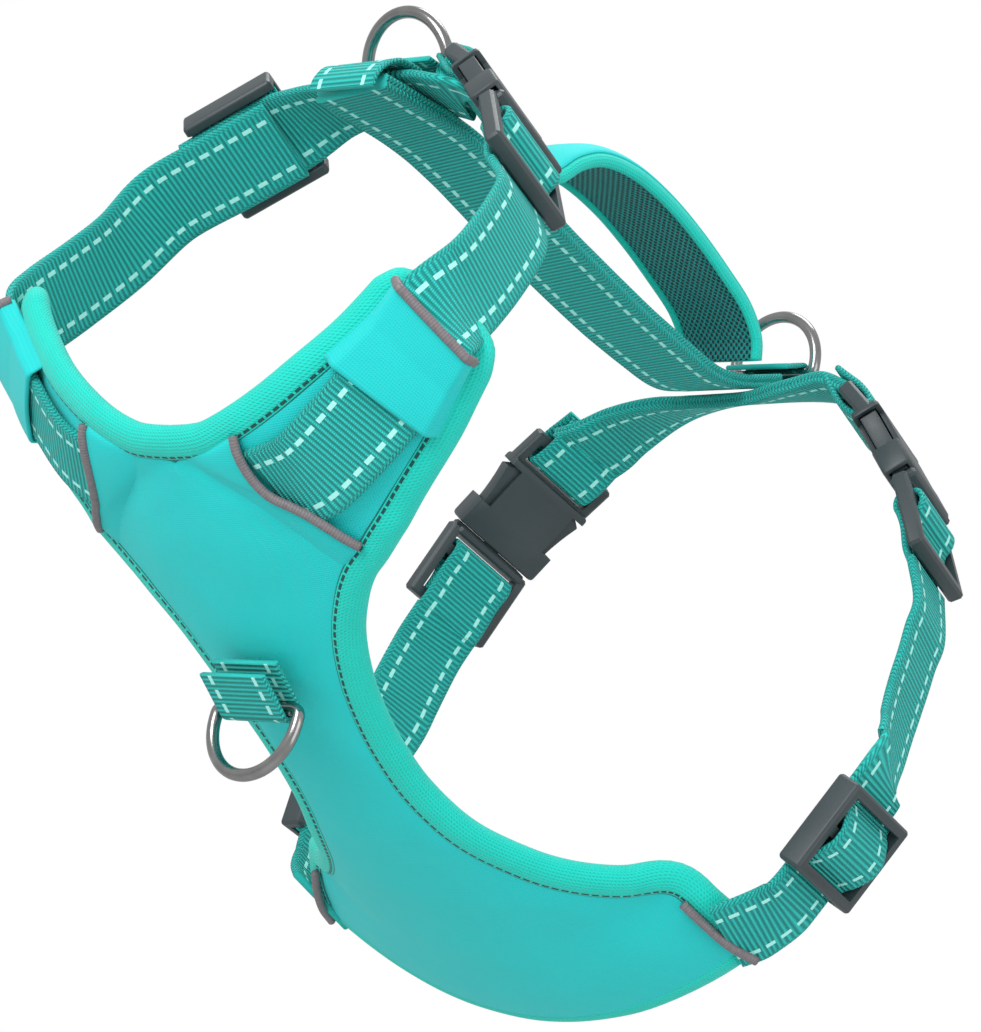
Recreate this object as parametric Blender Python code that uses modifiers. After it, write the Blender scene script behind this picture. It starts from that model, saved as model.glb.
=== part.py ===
"""No pull dog harness in its worn shape: padded chest plate, webbing straps, buckles, sliders and rings.

Frame: +X is the dog's left, -Y is forward, +Z is up. The origin lies on the dog's back at the withers,
where the neck strap crosses the back strap. Points written with mm() are in millimetres.
"""
import math

import bmesh
import bpy
from mathutils import Matrix, Vector

MM = 0.001
GAP = 0.3 * MM            # clearance between touching pieces

WEB_WIDTH = 25 * MM
WEB_THICK = 2.4 * MM      # one layer of webbing
DOUBLE_THICK = 4.2 * MM   # webbing sewn in two layers
TAB_THICK = 1.6 * MM      # light webbing of the ring tabs

SHELL_THICK = 1.0 * MM    # chest plate layers, from the outside in
FOAM_THICK = 3.2 * MM
LINING_THICK = 1.0 * MM
ACROSS = 5                # facets across half the plate
BINDING_RADIUS = 3.6 * MM
PIPING_RADIUS = 1.2 * MM

RING_HALF = 14.8 * MM     # D-ring wire centre line: half its bar, and bar to crown
RING_HEIGHT = 18.5 * MM
RING_WIRE = 1.8 * MM

BUCKLE_HALF = 16.5 * MM   # half width over the rails
BUCKLE_DEEP = 4.4 * MM    # half thickness of the socket
SLOT_HALF = 13.3 * MM     # half width of a webbing slot
SLEEVE = 26 * MM          # socket sleeve, from the mouth
SOCKET_END = 37 * MM      # mouth to the far side of the strap bar
PLUG_END = 27 * MM        # mouth to the far side of the plug's outer bar
BAR = 3.2 * MM            # webbing bars, along the strap
FLAT_HALF = 2.3 * MM      # half thickness of the bars and rails

ARM_REACH = 24 * MM       # press arm, from its root at the mouth to its tip
ARM_OUT = 14.1 * MM       # outer side of an arm inside the sleeve
ARM_ROOT_X = 10.5 * MM    # pivot of the living hinge
BAND = 8 * MM             # closed part of the sleeve behind the mouth
PRESS_RATE = 7.6          # radians of squeeze for each metre of pull

SLIDER_HALF_WIDTH = 16.5 * MM
SLIDER_HALF_LENGTH = 14 * MM
SLIDER_THICK = 2.6 * MM


def mm(x, y, z):
    return Vector((x, y, z)) * MM


# Rows of the chest plate on the dog's left, from the rear hem to the top of the shoulder arm.
# Each is the inner end, on the plate's centre line or neck seam, and the outer end on its side seam.
PANEL_ROWS = [
    (mm(0, 181, -178), mm(76, 166.5, -159)),
    (mm(0, 171, -178), mm(72.5, 158, -158)),
    (mm(0, 160, -177), mm(69, 149.5, -156.5)),
    (mm(0, 148, -176), mm(64.5, 141.5, -154.5)),
    (mm(0, 136, -174.5), mm(54, 136, -160)),
    (mm(0, 123, -173), mm(43, 127, -164)),
    (mm(0, 109, -171), mm(32, 114, -166)),
    (mm(0, 94, -168.5), mm(23.5, 98, -166)),
    (mm(0, 78, -164.5), mm(18.5, 80, -162.5)),
    (mm(0, 60, -160), mm(18, 61, -157.5)),
    (mm(0, 43, -155), mm(21, 43, -151.5)),
    (mm(0, 27, -149), mm(26, 28.5, -145)),
    (mm(0, 12, -142.5), mm(32.5, 17.5, -139)),
    (mm(0, -2, -136), mm(38, 11.5, -134.5)),
    (mm(0, -13, -130), mm(43, 8.5, -131)),
    (mm(0, -22, -125), mm(47, 5.5, -128)),
    (mm(13, -24, -123.5), mm(50.5, 3, -125.5)),
    (mm(26, -27, -119.5), mm(55, 0, -121.5)),
    (mm(37.5, -29.5, -113.5), mm(61, -4, -116.5)),
    (mm(48, -32, -106), mm(67, -8, -110.5)),
    (mm(57, -33.5, -98), mm(72.5, -12, -104.5)),
    (mm(64, -35, -90.5), mm(77, -15.5, -98)),
    (mm(69.5, -36.5, -83), mm(81.5, -19, -91)),
]
NECK_ROW = 15             # row that ends at the bottom of the neck cut-out
KEEPER_WIDTH = 29 * MM    # fabric band over the webbing at the top of a shoulder arm
KEEPER_THICK = 1 * MM
ARM_BULGE = 0.8 * MM      # how far the middle of an arm row stands out
ARM_STARTS = {"left": 16.3, "right": 17.8}   # row of the plate where the neck webbing begins
KEEPER_START = 19.7
ARM_END = 22              # row at the top of a shoulder arm
PIPING_ROWS = {"left": (16.8, 14.3), "right": (17.4, 15.4)}   # at the neck seam and at the side seam

# Routes: centre of the webbing and the direction that its outer face points in.
BACK_ROUTE = [
    (mm(0, -21.5, -4.6), (-0.12, -0.24, 1)), (mm(0, -9, -1.4), (-0.13, -0.24, 1)),
    (mm(0, 10, 3.1), (-0.15, -0.16, 1)), (mm(0, 30, 5), (-0.16, -0.04, 1)), (mm(0, 64, 5.3), (-0.16, -0.01, 1)),
    (mm(0, 100, 7), (-0.15, -0.06, 1)), (mm(0, 124, 9.4), (-0.12, -0.12, 1)), (mm(0, 140, 12), (-0.08, -0.3, 1)),
    (mm(0, 152.6, 18.6), (-0.02, -0.55, 0.83)), (mm(0, 165.4, 28), (0, -0.6, 0.8)),
]
NECK_OVER = [
    (mm(-59.4, -7.2, -20.8), (-0.6, 0.24, 0.75)), (mm(-47.8, -5.9, -11.6), (-0.6, 0.24, 0.75)),
    (mm(-38, -4.7, -3.9), (-0.6, 0.24, 0.75)), (mm(-26, -5.4, 1.6), (-0.3, -0.1, 0.94)),
    (mm(-13, -6, 3.6), (-0.1, -0.24, 0.97)), (mm(0, -6, 4.9), (-0.08, -0.24, 0.97)),
    (mm(11, -4.6, 5.8), (0.02, -0.2, 0.97)), (mm(21, -2.4, 4.9), (0.3, -0.1, 0.95)),
]
NECK_RIGHT_RISE = [
    (mm(-77.4, -24, -76), (-0.99, -0.12, -0.02)), (mm(-75.8, -17.4, -62), (-0.99, -0.05, 0.1)),
    (mm(-72.2, -12, -47), (-0.92, 0.05, 0.38)), (mm(-66, -9.4, -30.5), (-0.66, 0.2, 0.72)),
    (mm(-50, -7.5, -18.1), (-0.6, 0.24, 0.75)), (mm(-36, -5.7, -7.1), (-0.6, 0.24, 0.75)),
]
NECK_LEFT_RISE = [(mm(78.2, -25.4, -77.6), (0.99, -0.12, 0))]
NECK_LEFT_LOOP = [
    (mm(78.3, -24, -74.4), (0.99, -0.1, 0)), (mm(77.8, -20.4, -64.5), (0.98, 0, 0.14)),
    (mm(76.2, -17, -54), (0.95, 0.06, 0.3)), (mm(73.6, -14.4, -45), (0.88, 0.1, 0.45)),
]
GIRTH_OVER = [
    (mm(44.5, 157.6, 17.4), (0.42, -0.24, 0.87)), (mm(32, 159.4, 19.2), (0.15, -0.45, 0.88)),
    (mm(16, 163, 20.6), (0.04, -0.58, 0.8)), (mm(0, 165.2, 21.4), (0, -0.6, 0.8)),
    (mm(-14, 165.2, 20.4), (-0.06, -0.56, 0.82)), (mm(-27, 164.4, 16.6), (-0.24, -0.42, 0.87)),
    (mm(-38, 164.3, 10.6), (-0.5, -0.2, 0.84)), (mm(-45.5, 164.6, 5), (-0.62, 0, 0.78)),
]
SIDES = {
    "left": {
        "mouth": mm(79.5, 162.5, -15.5), "pull": (0.67, 0.12, -0.73), "out": (0.73, 0.1, 0.68), "bend": 12,
        "loop": [
            (mm(96.2, 165.6, -54), (0.97, 0.22, 0.1)), (mm(96.8, 165.4, -63), (0.97, 0.24, 0.04)),
            (mm(97.6, 165.2, -73), (0.97, 0.25, 0)), (mm(98.3, 164.8, -83), (0.97, 0.25, -0.04)),
        ],
        "lower": [
            (mm(98.5, 164.7, -85.6), (0.97, 0.25, -0.05)), (mm(100.2, 163.4, -93.5), (0.96, 0.24, -0.1)),
            (mm(102.8, 161.4, -101.5), (0.93, 0.2, -0.26)), (mm(104.6, 159.9, -108.9), (0.9, 0.15, -0.4)),
            (mm(97, 160.5, -126.2), (0.9, 0.15, -0.4)), (mm(89.4, 161.1, -143.5), (0.9, 0.15, -0.4)),
            (mm(86, 160.8, -148.8), (0.72, 0.05, -0.68)), (mm(80.6, 159.2, -153.4), (0.5, -0.1, -0.86)),
        ],
        "slider": mm(97, 160.5, -126.2), "slider_pull": (-0.4, 0.033, -0.913), "slider_out": (0.9, 0.15, -0.4),
    },
    "right": {
        "mouth": mm(-77, 168, -30), "pull": (-0.54, 0.05, -0.84), "out": (-0.82, 0.2, 0.53), "bend": 18,
        "loop": [
            (mm(-84.4, 167.8, -66), (-0.96, 0.2, 0.14)), (mm(-85.4, 167.6, -74), (-0.97, 0.22, 0.08)),
            (mm(-86, 167.4, -82), (-0.97, 0.24, 0.03)), (mm(-86.4, 167.2, -90), (-0.97, 0.24, 0)),
        ],
        "lower": [
            (mm(-86.5, 167.1, -92.6), (-0.97, 0.24, 0)), (mm(-87, 165.8, -98), (-0.97, 0.22, -0.04)),
            (mm(-87.5, 163.2, -103.6), (-0.98, 0.15, -0.08)), (mm(-87.7, 161.1, -109), (-0.99, 0.04, -0.1)),
            (mm(-86, 161.5, -126), (-0.99, 0.04, -0.1)), (mm(-84.3, 161.9, -143), (-0.99, 0.04, -0.1)),
            (mm(-82.8, 161.5, -148.8), (-0.9, 0, -0.43)), (mm(-79.8, 159.8, -153.6), (-0.6, -0.1, -0.78)),
        ],
        "slider": mm(-86, 161.5, -126), "slider_pull": (0.1, 0.023, -0.995), "slider_out": (-0.99, 0.04, -0.1),
    },
}
NECK_MOUTH = mm(51.5, -6.5, -13)
NECK_PULL = (0.74, -0.2, -0.64)
NECK_OUT = (0.62, 0.1, 0.78)
NECK_BEND = 10
NECK_SLIDER = mm(-46, -5.5, -9.6)
NECK_SLIDER_PULL = (-0.782, -0.092, -0.617)
NECK_SLIDER_OUT = (-0.6, 0.24, 0.75)
SOCKET_BEND = 9           # degrees that the socket's strap frame leans in

HANDLE_ROUTE = [
    (mm(0, 34, 8.8), (-0.16, -0.02, 1)), (mm(0, 42, 9.8), (-0.14, -0.3, 0.95)), (mm(0, 49, 15.5), (0, -0.8, 0.6)),
    (mm(0, 55, 24.5), (0, -0.8, 0.6)), (mm(0, 63, 31.5), (0, -0.55, 0.83)), (mm(0, 76, 36.3), (0, -0.22, 0.97)),
    (mm(0, 92, 38.2), (0, -0.03, 1)), (mm(0, 108, 37.8), (0, 0.06, 1)), (mm(0, 124, 36), (0, 0.12, 0.99)),
    (mm(0, 137, 33.8), (0, 0.28, 0.96)), (mm(0, 145.5, 29.5), (0, 0.7, 0.71)), (mm(0, 149, 24), (0, 0.95, 0.3)),
]
HANDLE_WIDTH = 28 * MM
HANDLE_LAYERS = (("handle_mesh_lining", 0, 1.0), ("handle_foam", 1.3, 3.4), ("handle_cover", 5.0, 1.0))


def clear_scene():
    for obj in list(bpy.data.objects):
        bpy.data.objects.remove(obj, do_unlink=True)


def make_material(name, colour, roughness, metallic=0.0):
    mat = bpy.data.materials.new(name)
    mat.use_nodes = True
    shader = mat.node_tree.nodes["Principled BSDF"]
    shader.inputs["Base Color"].default_value = (*colour, 1)
    shader.inputs["Roughness"].default_value = roughness
    shader.inputs["Metallic"].default_value = metallic
    return mat


def make_collection(name):
    made = bpy.data.collections.new(name)
    bpy.context.scene.collection.children.link(made)
    return made


clear_scene()
PARTS = make_collection("no_pull_harness")
CUTTERS = make_collection("cutters")
FABRIC = make_material("plate_fabric", (0.02, 0.68, 0.64), 0.7)
MESH_FABRIC = make_material("air_mesh", (0.01, 0.45, 0.45), 0.9)
FOAM = make_material("foam", (0.8, 0.8, 0.78), 0.9)
WEBBING = make_material("webbing", (0.01, 0.6, 0.54), 0.75)
BINDING = make_material("binding", (0.01, 0.72, 0.62), 0.9)
PIPING = make_material("reflective_piping", (0.25, 0.23, 0.24), 0.4)
PLASTIC = make_material("buckle_plastic", (0.045, 0.07, 0.075), 0.45)
STEEL = make_material("ring_steel", (0.55, 0.56, 0.57), 0.25, 1.0)


def add_object(name, data, mat, collection=PARTS):
    obj = bpy.data.objects.new(name, data)
    data.materials.append(mat)
    collection.objects.link(obj)
    return obj


def catmull(values, position):
    """Smooth value at a position counted in control points."""
    last = len(values) - 1
    index = min(int(position), last - 1)
    t = position - index
    before = values[index - 1] if index > 0 else 2 * values[0] - values[1]
    after = values[index + 2] if index + 2 <= last else 2 * values[last] - values[last - 1]
    start, end = values[index], values[index + 1]
    return 0.5 * (
        2 * start + (end - before) * t
        + (2 * before - 5 * start + 4 * end - after) * t ** 2
        + (3 * start - before - 3 * end + after) * t ** 3
    )


def frames_along(route, count):
    """(centre, across, normal) at even steps along a route."""
    centres = [Vector(centre) for centre, _ in route]
    normals = [Vector(normal).normalized() for _, normal in route]
    last = len(route) - 1
    step = 0.01
    frames = []
    for i in range(count + 1):
        position = last * i / count
        ahead = catmull(centres, min(position + step, last))
        behind = catmull(centres, max(position - step, 0))
        tangent = (ahead - behind).normalized()
        normal = catmull(normals, position)
        normal = (normal - tangent * normal.dot(tangent)).normalized()
        frames.append((catmull(centres, position), tangent.cross(normal), normal))
    return frames


def strip_mesh(name, frames, width, lift, across=1):
    """An open strip of webbing: a grid whose rows follow the frames."""
    mesh = bpy.data.meshes.new(name)
    bm = bmesh.new()
    rows = len(frames)
    bmesh.ops.create_grid(bm, x_segments=across, y_segments=rows - 1, size=1)
    for vert in bm.verts:
        centre, side, normal = frames[round((vert.co.y + 1) / 2 * (rows - 1))]
        vert.co = centre + side * (vert.co.x * width / 2) + normal * lift
    bmesh.ops.recalc_face_normals(bm, faces=bm.faces)
    bm.faces.ensure_lookup_table()
    if bm.faces[0].normal.dot(frames[0][2]) < 0:
        bmesh.ops.reverse_faces(bm, faces=bm.faces)
    bm.to_mesh(mesh)
    bm.free()
    return mesh


def add_solidify(obj, thickness, offset):
    shell = obj.modifiers.new("thickness", "SOLIDIFY")
    shell.thickness = thickness
    shell.offset = offset
    return obj


def add_strap(name, route, count, mat=WEBBING, width=WEB_WIDTH, thickness=WEB_THICK, lift=0.0):
    frames = frames_along(route, count)
    obj = add_object(name, strip_mesh(name, frames, width, lift), mat)
    return add_solidify(obj, thickness, 0)


def add_tube(name, points, radius, mat, closed=False, sides=2):
    curve = bpy.data.curves.new(name, "CURVE")
    curve.dimensions = "3D"
    curve.bevel_depth = radius
    curve.bevel_resolution = sides
    curve.use_fill_caps = not closed
    spline = curve.splines.new("POLY")
    spline.points.add(len(points) - 1)
    for slot, point in zip(spline.points, points):
        slot.co = (*point, 1)
    spline.use_cyclic_u = closed
    return add_object(name, curve, mat)


# ---------------------------------------------------------------- chest plate

def panel_point(position, t):
    """Point of the outer surface on the dog's left: position counts rows, t runs from inner to outer end."""
    inner = catmull([row[0] for row in PANEL_ROWS], position)
    outer = catmull([row[1] for row in PANEL_ROWS], position)
    wrap = min(max((NECK_ROW + 1 - position) / 2, 0), 1)   # 1 where the row starts on the centre line
    rise = wrap * t * t + (1 - wrap) * t
    point = inner + (outer - inner) * rise
    point.x = inner.x + (outer.x - inner.x) * t
    away = Vector((0.6, -0.6, -0.5)).normalized()
    bulge = (1 - wrap) * ARM_BULGE * 4 * t * (1 - t)
    return point + away * bulge


def panel_normal(position, t):
    """Outward normal of the outer surface."""
    step = 0.02
    last = len(PANEL_ROWS) - 1
    along = panel_point(min(position + step, last), t) - panel_point(max(position - step, 0), t)
    over = panel_point(position, min(t + step, 1)) - panel_point(position, max(t - step, 0))
    normal = over.cross(along)
    if t < step and position < NECK_ROW:
        normal.x = 0
    normal.normalize()
    return normal if normal.z < 0 else -normal


def add_plate_layer(name, depth, thickness, mat):
    """One layer of the plate, its outer side a given depth under the plate's outer surface."""
    rows = len(PANEL_ROWS) - 1
    mesh = bpy.data.meshes.new(name)
    bm = bmesh.new()
    bmesh.ops.create_grid(bm, x_segments=ACROSS, y_segments=rows, size=1)
    for vert in bm.verts:
        position = round((vert.co.y + 1) / 2 * rows)
        t = (vert.co.x + 1) / 2
        vert.co = panel_point(position, t) - panel_normal(position, t) * depth
        if abs(vert.co.x) < 0.01 * MM:
            vert.co.x = 0
    bmesh.ops.recalc_face_normals(bm, faces=bm.faces)
    bm.faces.ensure_lookup_table()
    if bm.faces[0].normal.z > 0:
        bmesh.ops.reverse_faces(bm, faces=bm.faces)
    bm.to_mesh(mesh)
    bm.free()
    obj = add_object(name, mesh, mat)
    mirror = obj.modifiers.new("both_sides", "MIRROR")
    mirror.merge_threshold = 0.0001
    return add_solidify(obj, thickness, -1)


def seam_points(start, end, t, count, reach):
    """Points beside a seam of the plate, moved past its edge by reach and to the middle of the layers."""
    depth = (SHELL_THICK + FOAM_THICK + LINING_THICK + 2 * GAP) / 2
    step = 0.05
    last = len(PANEL_ROWS) - 1
    points = []
    for i in range(count + 1):
        position = start + (end - start) * i / count
        edge = panel_point(position, t)
        normal = panel_normal(position, t)
        ahead = panel_point(min(position + step, last), t)
        behind = panel_point(max(position - step, 0), t)
        away = normal.cross(ahead - behind).normalized()
        inside = panel_point(position, 0.5) - edge
        if away.dot(inside) > 0:
            away = -away
        points.append(edge + away * reach - normal * depth)
    return points


def mirrored(points):
    return [Vector((-p.x, p.y, p.z)) for p in points]


def add_chest_plate():
    add_plate_layer("chest_plate_shell", 0, SHELL_THICK, FABRIC)
    foam_depth = SHELL_THICK + GAP
    add_plate_layer("chest_plate_foam", foam_depth, FOAM_THICK, FOAM)
    add_plate_layer("chest_plate_lining", foam_depth + FOAM_THICK + GAP, LINING_THICK, MESH_FABRIC)


def add_bindings():
    reach = BINDING_RADIUS + 2 * GAP
    last = len(PANEL_ROWS) - 1
    neck = seam_points(last - 0.1, NECK_ROW + 0.5, 0, 14, reach)
    dip = seam_points(NECK_ROW + 0.3, NECK_ROW + 0.3, 0, 1, reach)[0]
    dip.x = 0
    dip.z -= 0.6 * MM
    add_tube("neck_binding", neck + [dip] + mirrored(neck)[::-1], BINDING_RADIUS, BINDING)
    side = [mm(77.5, 152.5, -143.5), mm(75.5, 144.5, -143.5), mm(69.8, 137.4, -146.6)]
    side += seam_points(3.7, last - 0.1, 1, 30, reach)
    add_tube("side_binding_left", side, BINDING_RADIUS, BINDING)
    add_tube("side_binding_right", mirrored(side), BINDING_RADIUS, BINDING)
    hem = [panel_point(0, i / 8) + mm(0, 2.3, 2.6) for i in range(8)]
    add_tube("belly_hem_binding", mirrored(hem[1:])[::-1] + hem, 1.9 * MM, BINDING)


def arm_route(side, start, count):
    """Route of the webbing that lies on a shoulder arm, from the chest up."""
    sign = 1 if side == "left" else -1
    route = []
    for i in range(count):
        position = start + (ARM_END - start) * i / (count - 1)
        lift = 2 * GAP + WEB_THICK / 2
        if i == count - 1:
            lift += 3 * GAP
        normal = panel_normal(position, 0.5)
        point = panel_point(position, 0.5) + normal * lift
        route.append((Vector((sign * point.x, point.y, point.z)), (sign * normal.x, normal.y, normal.z)))
    return route


def add_keeper(side):
    """Fabric band that holds the neck webbing against a shoulder arm, and the piping along its upper edge."""
    route = arm_route(side, KEEPER_START, 3)
    lift = WEB_THICK / 2 + 5 * GAP + KEEPER_THICK / 2
    add_strap(f"shoulder_keeper_{side}", route, 8, FABRIC, KEEPER_WIDTH, KEEPER_THICK, lift)
    frames = frames_along(route, 8)
    centre, across, normal = frames[-1]
    ahead = (centre - frames[-2][0]).normalized() * (PIPING_RADIUS + GAP)
    edge = [centre + ahead + across * (KEEPER_WIDTH / 2 * share) + normal * (lift + GAP)
            for share in (-1, -0.6, 0, 0.6, 1)]
    add_tube(f"shoulder_top_piping_{side}", edge, PIPING_RADIUS, PIPING)


def add_piping():
    lift = PIPING_RADIUS + GAP
    belly = [mm(78.8, 168.6, -158.8), mm(75.2, 160, -158.6), mm(71.6, 151.5, -157.2), mm(67.6, 143.5, -155.4)]
    for side, (start, end) in PIPING_ROWS.items():
        lower = []
        for i in range(8):
            t = 0.04 + 0.92 * i / 7
            position = start + (end - start) * t
            lower.append(panel_point(position, t) + panel_normal(position, t) * lift)
        wing = belly
        if side == "right":
            lower = mirrored(lower)
            wing = mirrored(belly)
        add_tube(f"shoulder_piping_{side}", lower, PIPING_RADIUS, PIPING)
        add_tube(f"belly_piping_{side}", wing, PIPING_RADIUS, PIPING)
        add_keeper(side)


# ---------------------------------------------------------------- rings, buckles and sliders

def pose_matrix(place, along, out):
    """Local X across the strap, Y along it, Z outwards."""
    y_axis = Vector(along).normalized()
    z_axis = Vector(out)
    z_axis = (z_axis - y_axis * z_axis.dot(y_axis)).normalized()
    x_axis = y_axis.cross(z_axis)
    return Matrix.Translation(place) @ Matrix((x_axis, y_axis, z_axis)).transposed().to_4x4()


def add_ring(name, bar, up, across=(1, 0, 0)):
    """D-ring: a straight bar through the tab and a round bow."""
    side = Vector(across).normalized()
    rise = Vector(up).normalized()
    shoulder = RING_HEIGHT - RING_HALF
    points = [bar - side * (RING_HALF - 1.5 * MM), bar + side * (RING_HALF - 1.5 * MM)]
    points.append(bar + side * RING_HALF + rise * 1.5 * MM)
    bow = 14
    for i in range(bow + 1):
        angle = math.pi * i / bow
        points.append(bar + side * (RING_HALF * math.cos(angle))
                      + rise * (shoulder + RING_HALF * math.sin(angle)))
    points.append(bar - side * RING_HALF + rise * 1.5 * MM)
    ring = add_tube(name, [p - bar for p in points], RING_WIRE, STEEL, closed=True)
    ring.location = bar
    return ring


def socket_frame(matrix):
    """Place of the socket's strap frame, which leans in from the end of the sleeve."""
    hinge = Matrix.Translation((0, -SLEEVE, 0))
    return matrix @ hinge @ Matrix.Rotation(math.radians(SOCKET_BEND), 4, "X") @ hinge.inverted()


def plug_frame(matrix, bend):
    """Place of the plug's webbing frame, which leans in from the mouth."""
    return matrix @ Matrix.Rotation(math.radians(-bend), 4, "X")


def add_block(bm, low, high):
    """A box between two corners."""
    low, high = Vector(low), Vector(high)
    place = Matrix.Translation((low + high) / 2) @ Matrix.Diagonal((*(high - low), 1))
    bmesh.ops.create_cube(bm, size=1, matrix=place)


def block_object(name, low, high, matrix, collection=CUTTERS, mat=PLASTIC):
    mesh = bpy.data.meshes.new(name)
    bm = bmesh.new()
    add_block(bm, low, high)
    bm.to_mesh(mesh)
    bm.free()
    obj = add_object(name, mesh, mat, collection)
    obj.matrix_world = matrix
    if collection is CUTTERS:
        obj.hide_render = True
        obj.display_type = "WIRE"
    return obj


def add_boolean(obj, other, operation):
    made = obj.modifiers.new(other.name, "BOOLEAN")
    made.operation = operation
    made.object = other


def add_bevel(obj, width, segments=1):
    made = obj.modifiers.new("rounded_edges", "BEVEL")
    made.width = width
    made.segments = segments
    made.limit_method = "ANGLE"
    made.use_clamp_overlap = True


def add_frame(name, outline, openings, matrix):
    """A flat frame: one block with rectangular openings cut right through."""
    low, high = outline
    obj = block_object(name, low, high, matrix, PARTS)
    add_bevel(obj, 0.8 * MM)
    for i, (start, end) in enumerate(openings):
        cutter = block_object(f"{name}_cut_{i}", start, end, matrix)
        add_boolean(obj, cutter, "DIFFERENCE")
    return obj


def add_socket(name, matrix):
    """Female half: sleeve with a hollow for the plug, side windows and a strap bar."""
    half, deep = BUCKLE_HALF, BUCKLE_DEEP
    wall = 1.3 * MM
    window = (-23.4 * MM, -9.2 * MM)
    cavity = 2.9 * MM
    far = 9 * MM
    obj = block_object(name, (-half, -SLEEVE, -deep), (half, 0, deep), matrix, PARTS)
    add_bevel(obj, 1.2 * MM, 2)
    bent = socket_frame(matrix)
    frame = block_object(f"{name}_frame", (-half, -SOCKET_END, -FLAT_HALF), (half, -SLEEVE + 4 * MM, FLAT_HALF), bent)
    add_bevel(frame, 0.8 * MM)
    add_boolean(obj, frame, "UNION")
    slot = block_object(f"{name}_slot", (-SLOT_HALF, -SOCKET_END + BAR, -far), (SLOT_HALF, -SLEEVE - MM, far), bent)
    add_boolean(obj, slot, "DIFFERENCE")
    hollows = [((-half + wall, -SLEEVE + wall, -cavity), (half - wall, far, cavity))]
    for sign in (1, -1):
        near, away = sorted((sign * 11.8 * MM, sign * 20 * MM))
        hollows.append(((near, window[0], -far), (away, window[1], far)))
    for i, (low, high) in enumerate(hollows):
        add_boolean(obj, block_object(f"{name}_cut_{i}", low, high, matrix), "DIFFERENCE")
    return obj


def add_plug(name, matrix, bend):
    """Male half: webbing frame with two bars, and the guide tongue that enters the socket."""
    start = 0.4 * MM
    outline = ((-BUCKLE_HALF, 1.6 * MM, -FLAT_HALF), (BUCKLE_HALF, PLUG_END, FLAT_HALF))
    far = 9 * MM
    inner_slot = ((-SLOT_HALF, 4.2 * MM, -far), (SLOT_HALF, 8 * MM, far))
    window = ((-SLOT_HALF, 8 * MM + BAR, -far), (SLOT_HALF, PLUG_END - BAR, far))
    obj = add_frame(name, outline, (inner_slot, window), plug_frame(matrix, bend))
    tongue = block_object(f"{name}_tongue", (-2.4 * MM, -21 * MM, -2.2 * MM), (2.4 * MM, 1.5 * MM, 2.2 * MM), matrix)
    add_bevel(tongue, 0.6 * MM)
    add_boolean(obj, tongue, "UNION")
    shoulder = block_object(f"{name}_shoulder", (-14.2 * MM, start, -4 * MM), (14.2 * MM, 3.4 * MM, 4 * MM), matrix)
    add_bevel(shoulder, 0.8 * MM)
    add_boolean(obj, shoulder, "UNION")
    return obj


def add_press_arm(name, matrix, sign):
    """Spring arm of the plug, its root at the mouth and its press tab in the socket's window."""
    depth = 2.5 * MM
    start = 0.1 * MM
    outline = [(ARM_ROOT_X - 2.2 * MM, -start), (ARM_OUT - 0.4 * MM, -start)]
    for reach in (6, 9, 12, 15, 18, 20, 21.8):
        reach *= MM
        stand = max(reach - BAND, 0) * reach * PRESS_RATE
        outline.append((ARM_OUT + stand, -reach))
    outline += [(ARM_OUT + 0.6 * MM, -22.9 * MM), (ARM_OUT - 1.4 * MM, -ARM_REACH),
                (9.6 * MM, -ARM_REACH), (8.6 * MM, -21 * MM), (ARM_ROOT_X - 0.4 * MM, -9 * MM)]
    curve = bpy.data.curves.new(name, "CURVE")
    curve.dimensions = "2D"
    curve.fill_mode = "BOTH"
    curve.extrude = depth
    spline = curve.splines.new("POLY")
    spline.points.add(len(outline) - 1)
    for slot, (x, y) in zip(spline.points, outline):
        slot.co = ((x - ARM_ROOT_X) * sign, y, 0, 1)
    spline.use_cyclic_u = True
    obj = add_object(name, curve, PLASTIC)
    obj.matrix_world = matrix @ Matrix.Translation((sign * ARM_ROOT_X, 0, 0))
    return obj


def add_buckle(name, mouth, pull, out, bend):
    matrix = pose_matrix(mouth, pull, out)
    add_socket(f"{name}_socket", matrix)
    add_plug(f"{name}_plug", matrix, bend)
    add_press_arm(f"{name}_press_arm_a", matrix, 1)
    add_press_arm(f"{name}_press_arm_b", matrix, -1)


def add_slider(name, place, pull, out, base):
    """Three-bar slide and the webbing that loops over its middle bar; base is the strap's outer face."""
    level = base + TAB_THICK + 3 * GAP
    matrix = pose_matrix(place, pull, out)
    length, half = SLIDER_HALF_LENGTH, SLIDER_HALF_WIDTH
    bar = 1.6 * MM
    rail_low = -1.6 * MM
    high = level + SLIDER_THICK
    obj = add_frame(name, ((-half, -length, rail_low), (half, length, high)), (
        ((-SLOT_HALF, -length - MM, rail_low - MM), (SLOT_HALF, length + MM, level)),
        ((-SLOT_HALF, -length + 2 * bar, level - MM), (SLOT_HALF, -bar, high + MM)),
        ((-SLOT_HALF, bar, level - MM), (SLOT_HALF, length - 2 * bar, high + MM)),
    ), matrix)
    low = base + 2 * GAP + TAB_THICK / 2
    top = high + GAP + TAB_THICK / 2
    reach = length - 0.5 * MM
    turn = [(-reach, low), (-reach + 4 * MM, low), (-length / 2 + 0.3 * MM, (low + top) / 2), (-bar - MM, top),
            (0, top + 0.3 * MM), (bar + MM, top), (length / 2 - 0.3 * MM, (low + top) / 2),
            (reach - 4 * MM, low), (reach, low)]
    route = []
    for i, (y, z) in enumerate(turn):
        ahead = turn[min(i + 1, len(turn) - 1)]
        behind = turn[max(i - 1, 0)]
        tilt = Vector((0, behind[1] - ahead[1], ahead[0] - behind[0]))
        route.append((matrix @ Vector((0, y, z)), matrix.to_3x3() @ tilt))
    add_strap(f"{name}_webbing", route, 16, thickness=TAB_THICK)
    return obj


# ---------------------------------------------------------------- straps and their fittings

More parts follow.
